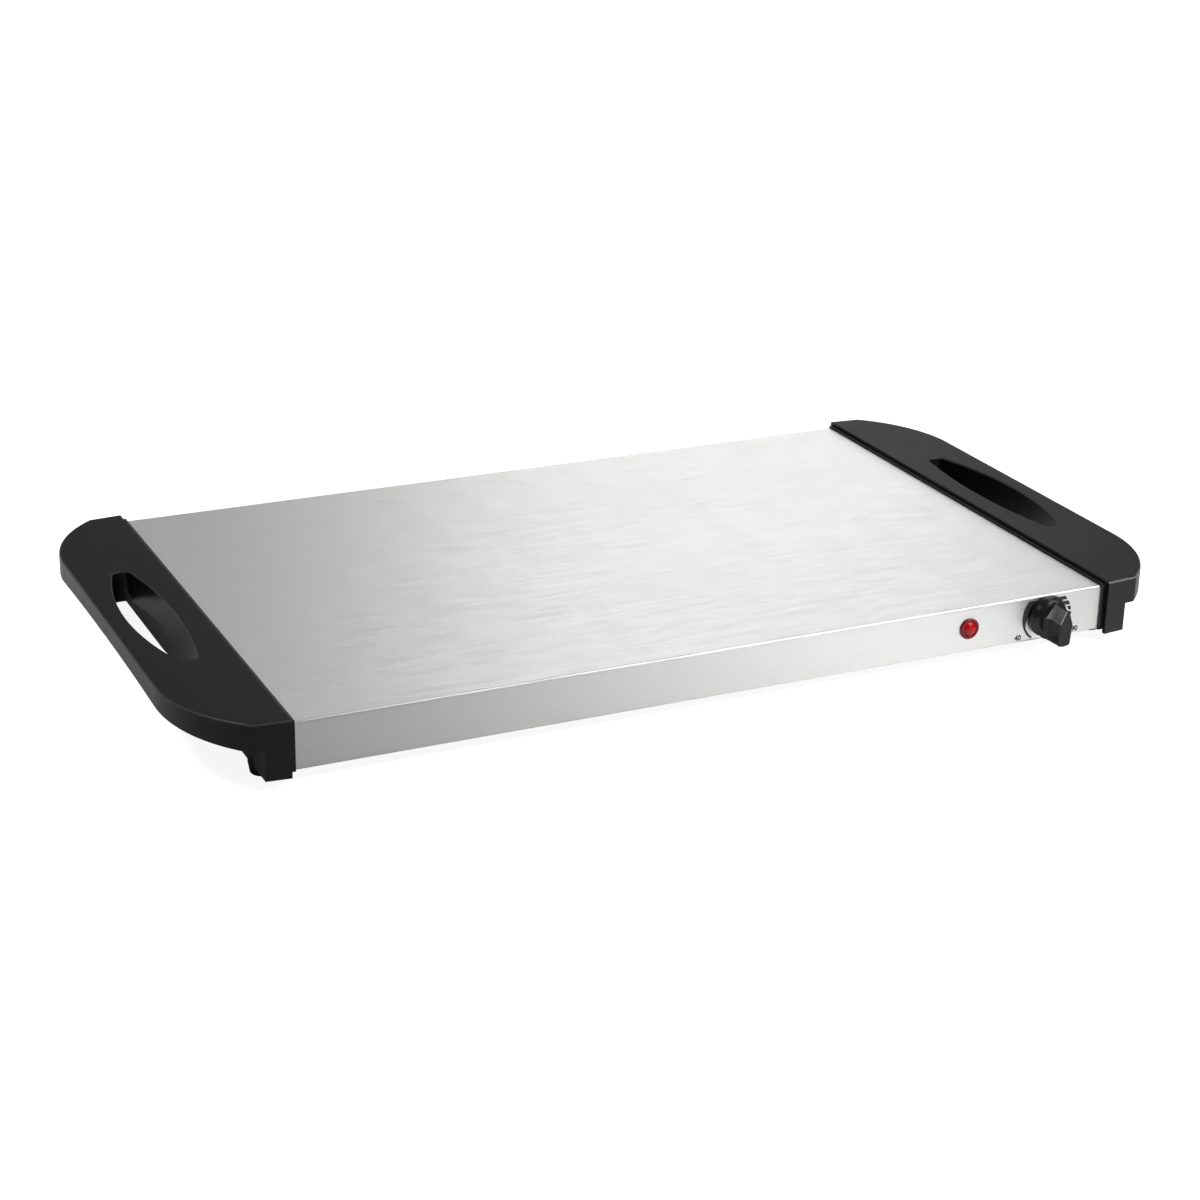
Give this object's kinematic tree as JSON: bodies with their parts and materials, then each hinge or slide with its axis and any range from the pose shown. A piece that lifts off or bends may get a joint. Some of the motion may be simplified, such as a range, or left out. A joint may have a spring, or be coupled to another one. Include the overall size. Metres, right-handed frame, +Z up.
{
  "type": "electric food warmer tray",
  "caption": "Flat electric food warming tray with brushed steel top and faces, black moulded end caps with grip openings, a front control knob, a red pilot lamp and rubber feet.",
  "frame": {"origin": "on the table plane, under the middle of the whole object's box", "axes": "+X along the tray towards the end with the knob, -Y out of the front face with the knob, +Z up"},
  "size_m": [0.628, 0.356, 0.0405],
  "materials": {
    "stainless": "stainless sheet brushed along its length",
    "spreader_aluminium": "plain rolled sheet",
    "mica": "pressed mica sheet",
    "resistance_alloy": "oxidised resistance ribbon",
    "felt": "needled glass felt",
    "galvanised": "galvanised sheet steel",
    "zinc_fasteners": "zinc plated steel",
    "cap_black": "black moulding with fine grain",
    "foot_rubber": "black rubber",
    "brass_parts": "turned brass",
    "ceramic_white": "unglazed ceramic",
    "blade_alloy": "bimetal and contact strip",
    "shaft_steel": "plated steel",
    "knob_black": "black satin moulding",
    "lens_red": "translucent red polycarbonate",
    "bulb_glass": "clear glass",
    "inlet_black": "black thermoplastic",
    "lead_brown": "brown silicone sleeve",
    "lead_blue": "blue silicone sleeve",
    "lead_green": "green sleeve",
    "lead_white": "white glass sleeve"
  },
  "bodies": {
    "tray": {"top_shell": "stainless", "heat_spreader": "spreader_aluminium", "upper_mica_sheet": "mica", "heating_element": "resistance_alloy", "lower_mica_sheet": "mica", "insulation_felt": "felt", "pressure_plate": "galvanised", "clamp_studs": "zinc_fasteners", "clamp_nuts": "zinc_fasteners", "base_plate": "galvanised", "base_screws": "zinc_fasteners", "cap_screws": "zinc_fasteners", "left_end_cap": "cap_black", "right_end_cap": "cap_black", "feet": "foot_rubber", "foot_screws": "zinc_fasteners", "thermostat_bracket": "galvanised", "thermostat_bushing": "brass_parts", "thermostat_nut": "zinc_fasteners", "thermostat_stack": "ceramic_white", "bimetal_blade": "blade_alloy", "contact_arm": "blade_alloy", "stack_rivet": "zinc_fasteners", "pilot_lens": "lens_red", "lamp_housing": "inlet_black", "lamp_clip": "zinc_fasteners", "neon_bulb": "bulb_glass", "inlet_housing": "inlet_black", "inlet_pins": "brass_parts", "terminal_block": "ceramic_white", "terminal_screws": "brass_parts", "live_lead": "lead_brown", "neutral_lead": "lead_blue", "earth_lead": "lead_green", "earth_stud": "brass_parts", "ribbon_lead": "lead_white", "thermostat_lead": "lead_white", "cutout_leads": "lead_white", "thermal_cutout": "zinc_fasteners", "cutout_clip": "galvanised"},
    "control_knob": {"thermostat_shaft": "shaft_steel", "knob": "knob_black", "knob_spring": "shaft_steel"}
  },
  "joints": [
    {"name": "knob_turn", "type": "hinge", "parent": "tray", "child": "control_knob", "pos_m": [0.2184, -0.166, 0.0241], "axis": [0, 1, 0], "range_deg": [-140, 140]}
  ]
}
